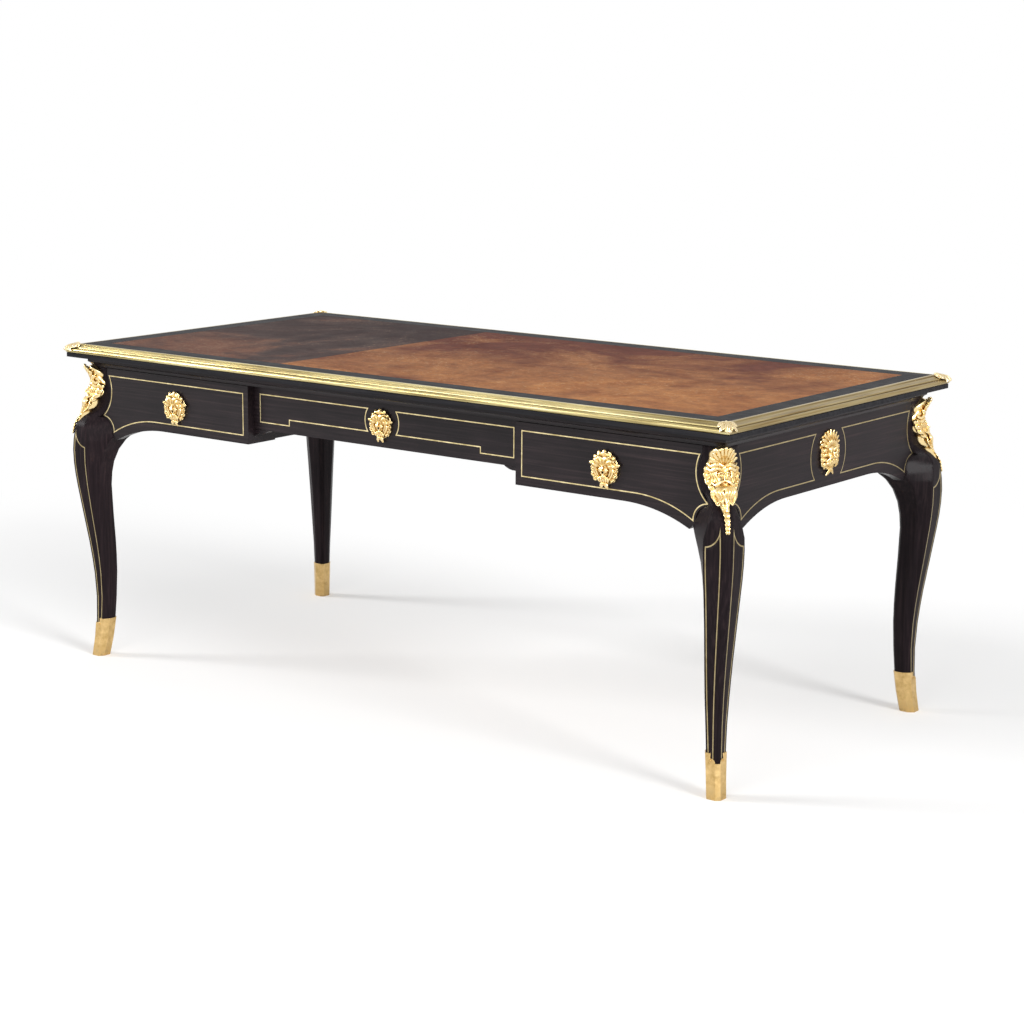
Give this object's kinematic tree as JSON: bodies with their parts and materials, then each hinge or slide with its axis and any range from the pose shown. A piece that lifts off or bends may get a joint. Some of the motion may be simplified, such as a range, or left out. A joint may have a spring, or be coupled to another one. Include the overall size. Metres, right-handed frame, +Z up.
{
  "type": "writing desk",
  "caption": "Flat writing desk with a leather-lined top in a brass edge, shallow frieze drawers with mask key plates, a kneehole, and cabriole legs with gilt corner mounts and sabots.",
  "frame": {"origin": "on the floor, under the middle of the top", "axes": "+X along the length of the desk, drawers open toward -Y, +Z up"},
  "size_m": [1.9126, 0.9266, 0.7843],
  "materials": {
    "ebonised_wood": "satin ebonised veneer with faint horizontal grain",
    "oak_lining": "plain waxed oak",
    "leather_dark": "worn grey brown hide",
    "leather_tan": "worn tan hide",
    "edge_brass": "polished moulding",
    "stringing_brass": "flush inlay",
    "gilt_bronze": "fire-gilt, chased",
    "sabot_gilt": "pale gilt",
    "lock_iron": "dark iron",
    "lock_steel": "filed steel"
  },
  "bodies": {
    "carcase": {"back_apron_centre": "ebonised_wood", "back_apron_left": "ebonised_wood", "back_apron_right": "ebonised_wood", "back_masks": "gilt_bronze", "back_stringing": "stringing_brass", "brass_edge_back": "edge_brass", "brass_edge_front": "edge_brass", "brass_edge_left": "edge_brass", "brass_edge_right": "edge_brass", "corner_clasps": "gilt_bronze", "corner_mounts": "gilt_bronze", "drawer_kickers": "oak_lining", "drawer_runners": "oak_lining", "end_apron_left": "ebonised_wood", "end_apron_right": "ebonised_wood", "end_masks": "gilt_bronze", "end_stringing": "stringing_brass", "glue_blocks": "oak_lining", "kneehole_brackets": "ebonised_wood", "leather_left": "leather_dark", "leather_right": "leather_tan", "leg_back_left": "ebonised_wood", "leg_back_right": "ebonised_wood", "leg_front_left": "ebonised_wood", "leg_front_right": "ebonised_wood", "leg_stringing": "stringing_brass", "partition_left": "ebonised_wood", "partition_right": "ebonised_wood", "sabot_screws": "sabot_gilt", "sabots": "sabot_gilt", "top_board": "ebonised_wood", "top_rail_back": "ebonised_wood", "top_rail_front": "ebonised_wood", "top_rail_left": "ebonised_wood", "top_rail_right": "ebonised_wood"},
    "left_drawer": {"drawer_left_bottom": "oak_lining", "drawer_left_box": "oak_lining", "drawer_left_front": "ebonised_wood", "drawer_left_lock": "lock_iron", "drawer_left_mask": "gilt_bronze", "drawer_left_stringing": "stringing_brass"},
    "centre_drawer": {"drawer_centre_bottom": "oak_lining", "drawer_centre_box": "oak_lining", "drawer_centre_front": "ebonised_wood", "drawer_centre_lock": "lock_iron", "drawer_centre_mask": "gilt_bronze", "drawer_centre_stringing": "stringing_brass"},
    "right_drawer": {"drawer_right_bottom": "oak_lining", "drawer_right_box": "oak_lining", "drawer_right_front": "ebonised_wood", "drawer_right_lock": "lock_iron", "drawer_right_mask": "gilt_bronze", "drawer_right_stringing": "stringing_brass"},
    "left_bolt": {"drawer_left_bolt": "lock_steel"},
    "centre_bolt": {"drawer_centre_bolt": "lock_steel"},
    "right_bolt": {"drawer_right_bolt": "lock_steel"}
  },
  "joints": [
    {"name": "left_drawer_slide", "type": "slide", "parent": "carcase", "child": "left_drawer", "axis": [0, -1, 0], "range_m": [0, 0.4]},
    {"name": "left_bolt_slide", "type": "slide", "parent": "left_drawer", "child": "left_bolt", "axis": [0, 0, 1], "range_m": [0, 0.008]},
    {"name": "centre_drawer_slide", "type": "slide", "parent": "carcase", "child": "centre_drawer", "axis": [0, -1, 0], "range_m": [0, 0.4]},
    {"name": "centre_bolt_slide", "type": "slide", "parent": "centre_drawer", "child": "centre_bolt", "axis": [0, 0, 1], "range_m": [0, 0.008]},
    {"name": "right_drawer_slide", "type": "slide", "parent": "carcase", "child": "right_drawer", "axis": [0, -1, 0], "range_m": [0, 0.4]},
    {"name": "right_bolt_slide", "type": "slide", "parent": "right_drawer", "child": "right_bolt", "axis": [0, 0, 1], "range_m": [0, 0.008]}
  ]
}
